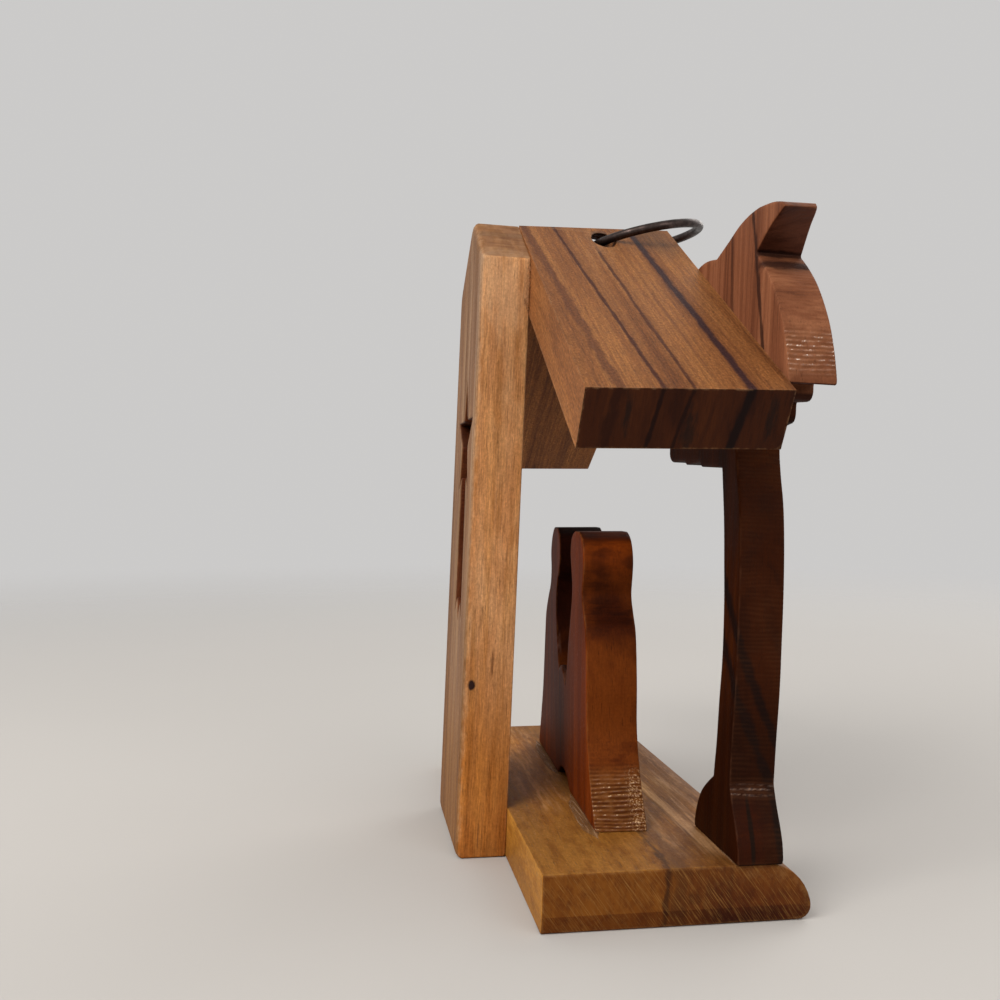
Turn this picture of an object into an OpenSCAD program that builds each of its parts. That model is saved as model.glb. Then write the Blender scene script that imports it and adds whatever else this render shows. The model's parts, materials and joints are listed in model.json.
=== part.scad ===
// Hanging stable scene sawn from flat wood: a gabled back post with a pierced star,
// a base plate, two roof planks, a pair of figures, a palm tree and a wire ring.
// Millimetres. +Z is up, the front faces -Y, and the base stands on Z = 0.

/* [Base] */
// Width of the base plate from end to end
base_w = 75.4; // [60:0.1:90]
// Depth of the base plate from the post to its front edge
base_d = 30.4; // [24:0.1:40]
// Thickness of the base plate
base_t = 6.3; // [4:0.1:10]
// Radius of the rounded upper front edge
nose_r = 4.9; // [1:0.1:5]
// Radius of the eased lower front edge
nose_low_r = 1.4; // [0.5:0.1:1.4]
// Height of the crest between the two sanded facets of an end
end_crest = 1.9; // [1:0.1:3]
// How far an end is sanded back at its top
end_back_top = 0.5; // [0:0.1:1.5]
// How far an end is sanded back at its foot
end_back_low = 0.4; // [0:0.1:1.5]

/* [Back post] */
// Width of the post
post_w = 24.2; // [18:0.1:32]
// Thickness of the post
post_t = 6.5; // [4:0.1:10]
// Height of the gable's left shoulder
shoulder_left = 77.8; // [60:0.1:84]
// Height of the gable's right shoulder, sawn a little lower
shoulder_right = 76.6; // [60:0.1:84]
// Forward lean of the post, the roof's ends and the palm
lean = 2.5; // [0:0.1:6]

/* [Pierced star] */
// Radius of the star over its points
star_r = 8.4; // [5:0.1:11]
// Height of the star's middle
star_z = 54.4; // [40:0.1:66]
// Sideways place of the star's middle
star_x = -1.8; // [-4:0.1:4]
// Width of the comet tail at its lower end
tail_w = 7.4; // [4:0.1:10]
// Height of the tail's lower end
tail_z = 30.4; // [15:0.1:42]

/* [Roof] */
// Height of the ridge
ridge_z = 85; // [70:0.1:100]
// Depth of the roof from the post to its front
roof_d = 21.6; // [15:0.1:30]
// Length of a plank down the slope
plank_l = 55.3; // [40:0.1:70]
// Thickness of a plank
plank_t = 6.7; // [4:0.1:10]
// Slope of the planks
slope = 29.8; // [15:0.1:45]

/* [Hanger ring] */
// Diameter of the hole across the ridge
hole_d = 3.3; // [2.5:0.1:4]
// Depth of the hole's axis below the ridge
hole_drop = 2.8; // [2:0.1:4]
// Distance of the hole in front of the post
hole_y = 11.2; // [5:0.1:16]
// Mean radius of the wire ring
ring_r = 8; // [6:0.1:12]
// Diameter of the wire
wire_d = 1.2; // [0.8:0.1:2]
// Tilt of the resting ring above the level
ring_tilt = 11.5; // [3:0.5:80]

/* [Figures] */
// Thickness of the figures' board
figure_t = 6.5; // [4:0.1:9]
// Turn of the figures' board about the vertical
figure_turn = -2.3; // [-8:0.1:8]
// Distance of the board's left end in front of the post
figure_y = 9.1; // [7:0.1:14]

/* [Palm] */
// Thickness of the palm's board
palm_t = 5.3; // [3:0.1:8]
// Sideways place of the trunk's foot
palm_x = -31.5; // [-34:0.1:-26]

/* [Hidden] */
$fn = 72;
// Place of the post's front face on the ground, so that the whole is centred front to back
joint_y = 11.95;
// Height of the hole's axis, and its place front to back
hole_z = ridge_z - hole_drop;
hole_at = joint_y - hole_z * tan(lean) - hole_y;
// How far the ring's wire bows inside the hole, shared out to both sides of the axis
hole_half = hole_drop / tan(slope);
ring_bow = (ring_r - sqrt(ring_r * ring_r - hole_half * hole_half)) / 2;
// Inner radius of a five-pointed star
star_in = star_r * sin(18) / sin(54);
// Steps in each curved stretch of an outline
steps = 5;

// A point of a smooth curve between b and c, with the neighbours a and d
function between(a, b, c, d, t) =
    0.5 * (2 * b + t * (c - a) + t * t * (2 * a - 5 * b + 4 * c - d) + t * t * t * (3 * b - a - 3 * c + d));

// A smooth open curve through the given points
function curve(p) = let (n = len(p) - 1) [
    for (i = [0 : n - 1], k = [0 : steps - 1])
        between(p[max(i - 1, 0)], p[i], p[i + 1], p[min(i + 2, n)], k / steps),
    p[n]];

// Lean a piece forward about the foot of the post's front face
module leaning() {
    translate([0, joint_y, 0])
        rotate([lean, 0, 0])
            children();
}

// Stand a flat outline up and give it thickness toward the front
module board(t) {
    rotate([90, 0, 0])
        linear_extrude(height = t)
            children();
}

// Outline of the post with its uneven gable
module post_outline() {
    polygon([
        [-post_w / 2, -1], [post_w / 2, -1], [post_w / 2, shoulder_right],
        [0, ridge_z], [-post_w / 2, shoulder_left]]);
}

// Five-pointed star with a forked tail below it
module star_outline() {
    translate([star_x, star_z])
        polygon([for (i = [0 : 9])
            let (r = i % 2 == 0 ? star_r : star_in) [r * sin(36 * i), r * cos(36 * i)]]);
    polygon([
        [star_x - tail_w * 0.33, star_z - star_in], [star_x + tail_w * 0.33, star_z - star_in],
        [star_x + tail_w * 0.5, tail_z], [star_x + tail_w * 0.22, tail_z + 2.2],
        [star_x, tail_z - 1], [star_x - tail_w * 0.24, tail_z + 1.8],
        [star_x - tail_w * 0.5, tail_z - 0.4]]);
}

// Upright board that carries everything
module back_post() {
    color([0.66, 0.45, 0.27])
        difference() {
            leaning()
                translate([0, post_t, 0])
                    board(post_t)
                        difference() {
                            post_outline();
                            star_outline();
                        }
            translate([-post_w, 0, -10])
                cube([post_w * 2, 40, 10]);
        }
}

// Section of the base from its leaning back edge to its rounded nose
module base_section() {
    nose = -base_d + nose_r;
    low = -base_d + nose_low_r;
    polygon(concat(
        [[0, 0], [-base_t * tan(lean), base_t]],
        [for (a = [0 : 10 : 90]) [nose - nose_r * sin(a), base_t - nose_r + nose_r * cos(a)]],
        [for (a = [10 : 20 : 90]) [low - nose_low_r * cos(a), nose_low_r - nose_low_r * sin(a)]]));
}

// Front view of the base, sanded to two facets at each end
module base_ends() {
    half = [[base_w / 2 - end_back_low, 0], [base_w / 2, end_crest], [base_w / 2 - end_back_top, base_t]];
    polygon(concat(half, [for (i = [2 : -1 : 0]) [-half[i].x, half[i].y]]));
}

// Flat plate in front of the post's foot
module base_plate() {
    color([0.62, 0.40, 0.20])
        translate([0, joint_y, 0])
            intersection() {
                translate([-base_w / 2, 0, 0])
                    rotate([90, 0, 90])
                        linear_extrude(height = base_w)
                            base_section();
                translate([0, 1, 0])
                    board(base_d + 2)
                        base_ends();
            }
}

// Section of one plank, mitred at the ridge and square at the eave
module plank_section() {
    polygon([
        [0, ridge_z],
        [-plank_l * cos(slope), ridge_z - plank_l * sin(slope)],
        [-plank_l * cos(slope) + plank_t * sin(slope), ridge_z - plank_l * sin(slope) - plank_t * cos(slope)],
        [0, ridge_z - plank_t / cos(slope)]]);
}

// One plank on the left, with its ends leaning like the post and its share of the hole
module roof_plank() {
    difference() {
        intersection() {
            translate([0, joint_y + 5, 0])
                board(roof_d + 15)
                    plank_section();
            leaning()
                translate([-plank_l, -roof_d, 0])
                    cube([plank_l, roof_d, ridge_z + 10]);
        }
        translate([-plank_l, hole_at, hole_z])
            rotate([0, 90, 0])
                cylinder(d = hole_d, h = plank_l * 2);
    }
}

// Roof half over the palm
module roof_plank_left() {
    color([0.60, 0.38, 0.22])
        roof_plank();
}

// Roof half on the other side
module roof_plank_right() {
    color([0.58, 0.37, 0.22])
        mirror([1, 0, 0])
            roof_plank();
}

// Two faceless figures side by side, sawn from one board, standing on two feet
module figures_outline() {
    polygon(concat(
        curve([[-5, 0], [-3, 1.3], [0, 1.8], [3, 1.3], [5, 0]]),
        curve([[25, 0], [22.6, 5], [20.4, 10], [19, 15], [18, 19], [16.9, 22.4], [14.6, 25], [12.2, 27.2],
               [11.4, 29.6], [11.8, 32], [10.6, 34.4], [8.6, 35.9]]),
        curve([[5.4, 35.9], [3.6, 34.7], [2.8, 32.6], [3.8, 30], [5.6, 28], [6.5, 25.2], [6.2, 21.6],
               [5, 17.8], [3.9, 15.6], [2.4, 16.2], [0.6, 15.6], [-0.6, 14.2]]),
        curve([[-2, 14], [-3, 17], [-4.3, 20.6], [-6.2, 24.6], [-7.4, 28], [-6.8, 30.4], [-6, 32.8],
               [-7, 35], [-9.4, 35.9]]),
        curve([[-12.9, 35.9], [-15, 34.8], [-16.1, 32.4], [-15.6, 30], [-15, 27.7], [-16.2, 25.4],
               [-17.6, 23], [-18.2, 17], [-18.2, 11], [-20, 6], [-22.2, 2.4], [-23.9, 0]])));
}

// Pair of figures on the base plate
module family_figures() {
    color([0.36, 0.17, 0.08])
        translate([-25, joint_y - figure_y, base_t])
            rotate([0, 0, figure_turn])
                translate([25, 0, 0])
                    board(figure_t)
                        figures_outline();
}

// Palm with a mound foot, a bowed trunk and four fronds
module palm_outline() {
    polygon(concat(
        [[8.9, -0.6]],
        curve([[8.9, 0.7], [8.4, 2.6], [6.8, 5.1], [4.2, 7], [2.8, 7.8]]),
        curve([[2.7, 9], [2.3, 12], [2, 17], [1.6, 22], [1.8, 28], [2.4, 33], [3.1, 38], [4.4, 44]]),
        [[12.2, 44.3], [12.7, 44.9], [18.4, 44.7], [18.9, 45.2]],
        curve([[24.2, 45.2], [25.5, 45.8], [25.8, 47.4], [24.8, 53.5], [22.4, 59], [18.6, 63.4]]),
        curve([[20.6, 64.6], [23, 66.4]]),
        curve([[20.6, 68.9], [17, 70.2], [13.4, 70.5], [9.6, 70]]),
        curve([[5.2, 71.3], [2, 72.3], [-1.1, 72.8], [-4.1, 72.9], [-7, 72.75], [-9, 72.3]]),
        curve([[-9.6, 71.7], [-8.4, 71], [-7.2, 70.4], [-5.4, 69.1], [-3.8, 67.8]]),
        curve([[-6.1, 66.1], [-8.5, 63.9], [-10.6, 61.3], [-12.2, 58.8], [-13.3, 56.4], [-14, 54.3], [-14.5, 52.2]]),
        [[-8.7, 53]],
        curve([[-8.8, 51.9], [-8.4, 51.3], [-7.6, 51.1]]),
        [[-4.4, 51.3]],
        curve([[-4.4, 49.6], [-4, 49.1], [-3.4, 49], [-1.7, 48.7], [-0.6, 47.6], [-0.2, 46.2], [-0.9, 43.2],
               [-2, 39.8], [-2.7, 35.4], [-3.1, 30], [-3.2, 24], [-3.2, 19], [-2.8, 13], [-2.6, 8.2]]),
        curve([[-3.7, 6], [-5.6, 2.9], [-6.2, 0.5]]),
        [[-6.2, -0.6]]));
}

// Palm tree against the roof's front, sawn level where it stands on the base
module palm_tree() {
    color([0.42, 0.22, 0.12])
        difference() {
            leaning()
                translate([palm_x, -roof_d, base_t + roof_d * sin(lean)])
                    board(palm_t)
                        palm_outline();
            translate([-60, -40, base_t - 10])
                cube([120, 60, 10]);
        }
}

// Wire ring through the ridge, lying toward the front
module hanger_ring() {
    color([0.12, 0.11, 0.10])
        translate([0, hole_at, hole_z])
            rotate([-ring_tilt, 0, 0])
                translate([0, ring_bow - ring_r, 0])
                    rotate_extrude()
                        translate([ring_r, 0])
                            circle(d = wire_d);
}

back_post();
base_plate();
roof_plank_left();
roof_plank_right();
family_figures();
palm_tree();
hanger_ring();
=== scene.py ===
import json
import math

import bmesh
import bpy
import numpy as np
from mathutils import Matrix, Vector


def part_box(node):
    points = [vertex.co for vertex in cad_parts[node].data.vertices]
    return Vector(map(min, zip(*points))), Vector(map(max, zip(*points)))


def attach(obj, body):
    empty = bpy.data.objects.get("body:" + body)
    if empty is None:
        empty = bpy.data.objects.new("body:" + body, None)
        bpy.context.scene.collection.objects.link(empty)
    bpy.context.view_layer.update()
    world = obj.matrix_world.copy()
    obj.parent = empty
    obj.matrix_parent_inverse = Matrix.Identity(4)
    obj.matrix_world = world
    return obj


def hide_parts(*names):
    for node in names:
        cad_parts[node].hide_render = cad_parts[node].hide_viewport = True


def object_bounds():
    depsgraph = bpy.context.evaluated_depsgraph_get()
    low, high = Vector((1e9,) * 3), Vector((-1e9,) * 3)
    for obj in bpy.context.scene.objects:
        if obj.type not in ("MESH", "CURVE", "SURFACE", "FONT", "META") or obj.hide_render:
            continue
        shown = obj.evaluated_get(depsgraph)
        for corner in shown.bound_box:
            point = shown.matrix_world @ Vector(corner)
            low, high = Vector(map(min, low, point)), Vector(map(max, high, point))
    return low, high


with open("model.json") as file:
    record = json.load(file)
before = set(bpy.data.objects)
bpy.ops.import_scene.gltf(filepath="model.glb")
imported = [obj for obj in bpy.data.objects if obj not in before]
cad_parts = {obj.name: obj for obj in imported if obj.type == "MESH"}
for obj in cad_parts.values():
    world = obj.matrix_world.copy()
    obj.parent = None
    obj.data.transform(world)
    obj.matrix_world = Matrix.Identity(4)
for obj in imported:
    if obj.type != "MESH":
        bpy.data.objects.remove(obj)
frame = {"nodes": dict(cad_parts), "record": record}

bl_info = {
    "name": "Hanging Wooden Stable",
    "version": (1, 0, 0),
    "blender": (4, 5, 0),
    "location": "View3D > Sidebar > Stable",
    "description": "Dresses the packed stable ornament as varnished olive wood, wire and glue",
    "category": "Object",
}

MM = 0.001
CAD_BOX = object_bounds()

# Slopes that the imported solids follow
ROOF_SLOPE = math.radians(29.8)
POST_LEAN = math.radians(2.5)

# Axes of a level wood's grain as rows: along the grain, across it, and through the board
LEVEL_GRAIN = ((1, 0, 0), (0, 1, 0), (0, 0, 1))

# Points of a mesh that are nearer to each other than this are one point
SAME_POINT = 0.001 * MM

# Shares by which two directions agree: roughly, and as those of one flat face
ROUGHLY, SAME_WAY = 0.9, 0.999

# Shares by which a face begins to look one way, and looks fully that way
FACING = (0.5, 0.85)

# Tones of each wood, in the order of the shades
WOOD_TONES = {
    "post": ((0.52, 0.26, 0.115), (0.42, 0.18, 0.066), (0.27, 0.10, 0.03), (0.58, 0.36, 0.2)),
    "roof": ((0.265, 0.106, 0.031), (0.202, 0.074, 0.021), (0.12, 0.04, 0.012), (0.36, 0.19, 0.09)),
    "base": ((0.275, 0.115, 0.02), (0.225, 0.088, 0.0135), (0.15, 0.057, 0.01), (0.42, 0.22, 0.075)),
    "figure": ((0.145, 0.032, 0.0035), (0.1, 0.0195, 0.0018), (0.045, 0.0085, 0.0012), (0.19, 0.068, 0.02)),
    "palm": ((0.26, 0.1, 0.047), (0.19, 0.066, 0.03), (0.1, 0.032, 0.015), (0.24, 0.1, 0.05)),
}
SHADES = {
    "pale": "Pale bands of the {} wood",
    "middle": "Main colour of the {} wood",
    "dark": "Dark bands of the {} wood",
    "worn": "Bared edges of the {} wood",
}

# Place and size of each lamp in metres, its power in watts and its tone
LAMPS = {
    "key": ((-0.28, 0.34, 0.40), 0.34, 2.1, (1.0, 0.97, 0.93)),
    "fill": ((-0.48, -0.22, 0.26), 0.40, 0.8, (1.0, 0.95, 0.9)),
    "front": ((0.35, -0.40, 0.36), 0.40, 1.1, (1.0, 0.97, 0.94)),
}


def length(name, text, millimetres, low=0.0, high=50.0):
    """A size in the sidebar, given in millimetres."""
    return bpy.props.FloatProperty(
        name=name, description=text, default=millimetres * MM, min=low * MM, max=high * MM,
        precision=5, subtype="DISTANCE", unit="LENGTH")


def colour(name, text, value):
    """A colour in the sidebar."""
    return bpy.props.FloatVectorProperty(
        name=name, description=text, default=value, min=0.0, max=1.0, size=3, subtype="COLOR")


class StableSizes(bpy.types.PropertyGroup):
    """Sizes of the small forms that finish the sawn boards."""

    outline_step: length("Outline Step", "Distance between points along a sawn outline", 0.1, 0.05)
    corner_ease: length("Corner Ease", "How far the saw rounds a corner of an outline", 0.2)
    arris: length("Arris", "Radius of the sanded edges", 0.2)
    post_arris: length("Post Back Arris", "Radius of the post's well rounded back edges", 0.75)
    wear_width: length("Wear Width", "Width of the worn strip beside an edge", 0.4)
    mark_gap: length("Mark Gap", "Distance between two blade marks", 0.52, 0.2)
    mark_depth: length("Mark Depth", "Depth of the blade marks in the rough stretches", 0.06)
    wire: length("Wire", "Diameter of the ring's wire", 1.2, 0.5)
    wire_gap: length("Wire Gap", "Gap between the two cut ends of the wire", 0.12)
    glue_width: length("Glue Width", "Width of the glue that was squeezed out at the figures' feet", 1.7)


class StableColours(bpy.types.PropertyGroup):
    """Colours of the heartwood, the glue, the wire and the stage, and the tones of each wood."""

    heartwood: colour("Heartwood", "Nearly black heartwood streaks", (0.022, 0.008, 0.006))
    glue: colour("Glue", "Dried glue", (0.46, 0.27, 0.15))
    filler: colour("Filler", "Sawdust and glue in the corner of post and roof", (0.36, 0.17, 0.08))
    wire: colour("Wire", "Dark wire of the ring", (0.036, 0.025, 0.022))
    floor: colour("Floor", "Pale floor", (0.54, 0.52, 0.495))
    backdrop: colour("Backdrop", "Pale backdrop", (0.60, 0.592, 0.585))


StableColours.__annotations__.update({
    f"{wood}_{shade}": colour(f"{wood} {shade}".title(), text.format(wood), tone)
    for wood, tones in WOOD_TONES.items() for (shade, text), tone in zip(SHADES.items(), tones)})


def spaced(key):
    """A socket's name from a keyword."""
    return key.replace("_", " ")


class NodeBench:
    """A short way to add and join the nodes of one tree."""

    def __init__(self, tree):
        self.tree = tree

    def feed(self, socket, value):
        """Join a socket to another one, or give it a plain value."""
        if isinstance(value, bpy.types.NodeSocket):
            self.tree.links.new(value, socket)
        elif socket.type == "RGBA":
            socket.default_value = (*value, 1.0)
        else:
            socket.default_value = value

    def add(self, kind, inputs=None, **settings):
        """Add a node with its settings, and feed its inputs by name or number."""
        node = self.tree.nodes.new(kind)
        for name, value in settings.items():
            setattr(node, name, value)
        for key, value in (inputs or {}).items():
            self.feed(node.inputs[key], value)
        return node

    def get(self, kind, inputs=None, **settings):
        """The first output of an added node."""
        return self.add(kind, inputs, **settings).outputs[0]

    def math(self, operation, *values):
        """One step of arithmetic."""
        return self.get("ShaderNodeMath", dict(enumerate(values)), operation=operation)

    def times(self, product, *factors):
        """The product of some numbers."""
        for factor in factors:
            product = self.math("MULTIPLY", product, factor)
        return product

    def line(self, value, slope, start):
        """A number on a straight line: a value times its slope, from a start."""
        return self.math("MULTIPLY_ADD", value, slope, start)

    def rest(self, share):
        """What a share leaves of the whole."""
        return self.math("SUBTRACT", 1.0, share)

    def vector(self, operation, *values):
        """One step of vector arithmetic."""
        outputs = self.add("ShaderNodeVectorMath", dict(enumerate(values)), operation=operation).outputs
        return outputs["Value"] if operation in ("DOT_PRODUCT", "LENGTH") else outputs["Vector"]

    def scaled(self, vector, factor):
        """A vector or colour times a number."""
        return self.get("ShaderNodeVectorMath", {"Vector": vector, "Scale": factor}, operation="SCALE")

    def parts(self, vector):
        """The three numbers of a vector."""
        return self.add("ShaderNodeSeparateXYZ", {0: vector}).outputs

    def joined(self, **numbers):
        """A vector from its numbers; one that isn't given is 0."""
        return self.get("ShaderNodeCombineXYZ", numbers)

    def noise(self, vector, stretch, seed=0.0, detail=2.0, rough=0.5):
        """Smooth noise from 0 to 1 with its own stretch along each axis."""
        return self.get("ShaderNodeTexNoise", {
            "Vector": self.vector("MULTIPLY", vector, stretch), "W": seed, "Scale": 1.0, "Detail": detail,
            "Roughness": rough}, noise_dimensions="4D")

    def step(self, value, low, high):
        """Rise smoothly from 0 to 1 while the value goes from low to high."""
        return self.get("ShaderNodeMapRange", {"Value": value, "From Min": low, "From Max": high},
                        interpolation_type="SMOOTHSTEP")

    def blend(self, share, first, second, kind="MIX"):
        """Mix two colours."""
        node = self.add("ShaderNodeMix", {0: share, 6: first, 7: second}, data_type="RGBA", blend_type=kind)
        return node.outputs[2]

    def carried(self, attribute):
        """A number that the mesh carries."""
        return self.add("ShaderNodeAttribute", attribute_name=attribute).outputs["Fac"]

    def group(self, name, **inputs):
        """Outputs of a placed node group."""
        given = {spaced(key): value for key, value in inputs.items()}
        return self.add("ShaderNodeGroup", given, node_tree=bpy.data.node_groups[name]).outputs


def new_group(kind, name, outputs, **inputs):
    """An empty node group: its bench, the sockets that it is given and those that it puts out.

    An input is a number with its default, or else the name of the socket's kind.
    """
    tree = bpy.data.node_groups.new(name, kind + "NodeTree")
    for key, value in inputs.items():
        is_number = isinstance(value, float)
        socket = tree.interface.new_socket(
            spaced(key), in_out="INPUT", socket_type="NodeSocket" + ("Float" if is_number else value))
        if is_number:
            socket.default_value = value
    for key, value in outputs.items():
        tree.interface.new_socket(key, in_out="OUTPUT", socket_type="NodeSocket" + value)
    bench = NodeBench(tree)
    return bench, bench.add("NodeGroupInput").outputs, bench.add("NodeGroupOutput").inputs


def olive_grain_group():
    """Growth bands, grain lines, fibres and pores of olive wood, in millimetres with the grain along X."""
    bench, given, out = new_group(
        "Shader", "olive_grain", {"Color": "Color", "Height": "Float"}, Vector="Vector", Pale="Color",
        Middle="Color", Dark="Color", Ring_Gap=2.4, Wave=4.0, Line_Share=0.5, Fibre_Share=0.3, End=0.0,
        Seed=0.0)
    seed, place = given["Seed"], given["Vector"]
    side = bench.rest(given["End"])
    drift = bench.noise(place, (0.03, 0.11, 0.07), seed, 1.0)
    shift = bench.times(bench.math("SUBTRACT", drift, 0.5), given["Wave"])
    wavy = bench.vector("ADD", place, bench.joined(Y=shift))
    gap = bench.math("DIVIDE", 1.0, given["Ring Gap"])
    ring_scale = bench.joined(X=0.012, Y=gap, Z=bench.times(gap, 0.2))
    rings = bench.step(bench.noise(wavy, ring_scale, seed, 2.5, 0.55), 0.34, 0.66)
    lines = bench.step(bench.noise(wavy, (0.03, 2.1, 0.3), seed, 2.0, 0.6), 0.36, 0.68)
    fibres = bench.math("SUBTRACT", bench.noise(place, (0.34, 4.8, 4.8), seed, 3.0, 0.7), 0.5)
    fibres = bench.times(fibres, side)
    pores = bench.step(bench.noise(place, (0.55, 6.6, 6.6), seed, 1.5), 0.62, 0.74)
    pores = bench.times(pores, side)
    tone = bench.line(lines, given["Line Share"], bench.times(rings, 0.62))
    tone = bench.math("ADD", tone, bench.line(drift, 0.5, -0.25))
    shade = bench.blend(bench.step(tone, 0.05, 0.5), given["Pale"], given["Middle"])
    shade = bench.blend(bench.step(tone, 0.45, 1.05), shade, given["Dark"])
    light = bench.times(bench.line(fibres, given["Fibre Share"], 1.0), bench.line(pores, -0.36, 1.0))
    bench.feed(out["Color"], bench.scaled(shade, light))
    bench.feed(out["Height"], bench.line(pores, -0.8, bench.line(lines, -0.35, fibres)))


def heart_streak_group():
    """One streak that runs with the grain between two places, slants through the board and wanders."""
    bench, given, out = new_group(
        "Shader", "heart_streak", {"Mask": "Float"}, Vector="Vector", Centre=0.0, Half_Width=0.6, Drift=0.0,
        Lean=0.0, Wander=0.6, Soft=0.7, From=-200.0, To=200.0, Ragged=0.8, Seed=0.0)
    fade = 2.5
    along, across, through = bench.parts(given["Vector"])
    slow = bench.noise(given["Vector"], (0.07, 0.0, 0.13), given["Seed"], 1.0)
    quick = bench.noise(given["Vector"], (0.35, 1.3, 0.5), given["Seed"], 2.0, 0.6)
    middle = bench.line(along, given["Drift"], given["Centre"])
    middle = bench.line(through, given["Lean"], middle)
    sway = bench.times(bench.line(slow, 2.0, -1.0), given["Wander"])
    away = bench.math("SUBTRACT", bench.math("SUBTRACT", across, middle), sway)
    away = bench.math("DIVIDE", bench.math("ABSOLUTE", away), given["Half Width"])
    away = bench.line(bench.line(quick, 2.0, -1.0), given["Ragged"], away)
    mask = bench.rest(bench.step(away, bench.rest(given["Soft"]), 1.0))
    begun = bench.step(bench.math("SUBTRACT", along, given["From"]), -fade, fade)
    ahead = bench.step(bench.math("SUBTRACT", given["To"], along), -fade, fade)
    bench.feed(out["Mask"], bench.times(mask, begun, ahead))


def stain_patch_group():
    """A soft ragged patch, such as a knot, a burl or soaked varnish."""
    bench, given, out = new_group(
        "Shader", "stain_patch", {"Mask": "Float"}, Vector="Vector", Centre="Vector", Reach="Vector",
        Ragged=0.5, Soft=0.5, Seed=0.0)
    place = bench.vector("DIVIDE", bench.vector("SUBTRACT", given["Vector"], given["Centre"]), given["Reach"])
    rough = bench.noise(place, (1.1, 2.6, 2.6), given["Seed"], 3.0, 0.6)
    away = bench.line(bench.line(rough, 2.0, -1.0), given["Ragged"], bench.vector("LENGTH", place))
    bench.feed(out["Mask"], bench.rest(bench.step(away, bench.rest(given["Soft"]), 1.0)))


def worn_arris_group():
    """Edges where sanding and handling have bared paler wood."""
    bench, given, out = new_group(
        "Shader", "worn_arris", {"Mask": "Float"}, Edge=0.0, Vector="Vector", Seed=0.0)
    patchy = bench.noise(given["Vector"], (0.5, 1.1, 1.1), given["Seed"], 3.0, 0.65)
    bench.feed(out["Mask"], bench.step(bench.times(given["Edge"], patchy), 0.34, 0.66))


def varnish_grit_group():
    """Fine grain of the varnish that stands on open fibres, as a height and as bright specks."""
    bench, given, out = new_group(
        "Shader", "varnish_grit", {"Height": "Float", "Specks": "Float"}, Vector="Vector", Seed=0.0)
    specks = bench.noise(given["Vector"], (2.4, 3.4, 3.4), given["Seed"], 2.0, 0.7)
    bench.feed(out["Height"], specks)
    bench.feed(out["Specks"], bench.step(specks, 0.56, 0.74))


def shader_groups():
    """Build every shared shader group once."""
    if "olive_grain" not in bpy.data.node_groups:
        olive_grain_group()
        heart_streak_group()
        stain_patch_group()
        worn_arris_group()
        varnish_grit_group()


class Surface(NodeBench):
    """The nodes of a new material, with places in millimetres along, across and through the grain."""

    def __init__(self, name, grain=LEVEL_GRAIN, origin=(0, 0, 0)):
        self.material = bpy.data.materials.new(name)
        self.material.use_nodes = True
        super().__init__(self.material.node_tree)
        self.shader = self.tree.nodes["Principled BSDF"]
        coordinates = self.add("ShaderNodeTexCoord").outputs
        self.normal = coordinates["Normal"]
        axes = Matrix(grain)
        self.place = self.get("ShaderNodeMapping", {
            "Vector": coordinates["Object"], "Scale": (1 / MM,) * 3, "Rotation": axes.to_euler(),
            "Location": axes @ Vector(origin) / -MM})

    def set(self, **values):
        """Feed inputs of the shader."""
        for key, value in values.items():
            self.feed(self.shader.inputs[spaced(key)], value)

    def relief(self, height, strength, millimetres):
        """Raise the surface by a height, in shares of a distance."""
        self.set(Normal=self.get("ShaderNodeBump", {
            "Height": height, "Strength": strength, "Distance": millimetres * MM}))


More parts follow.
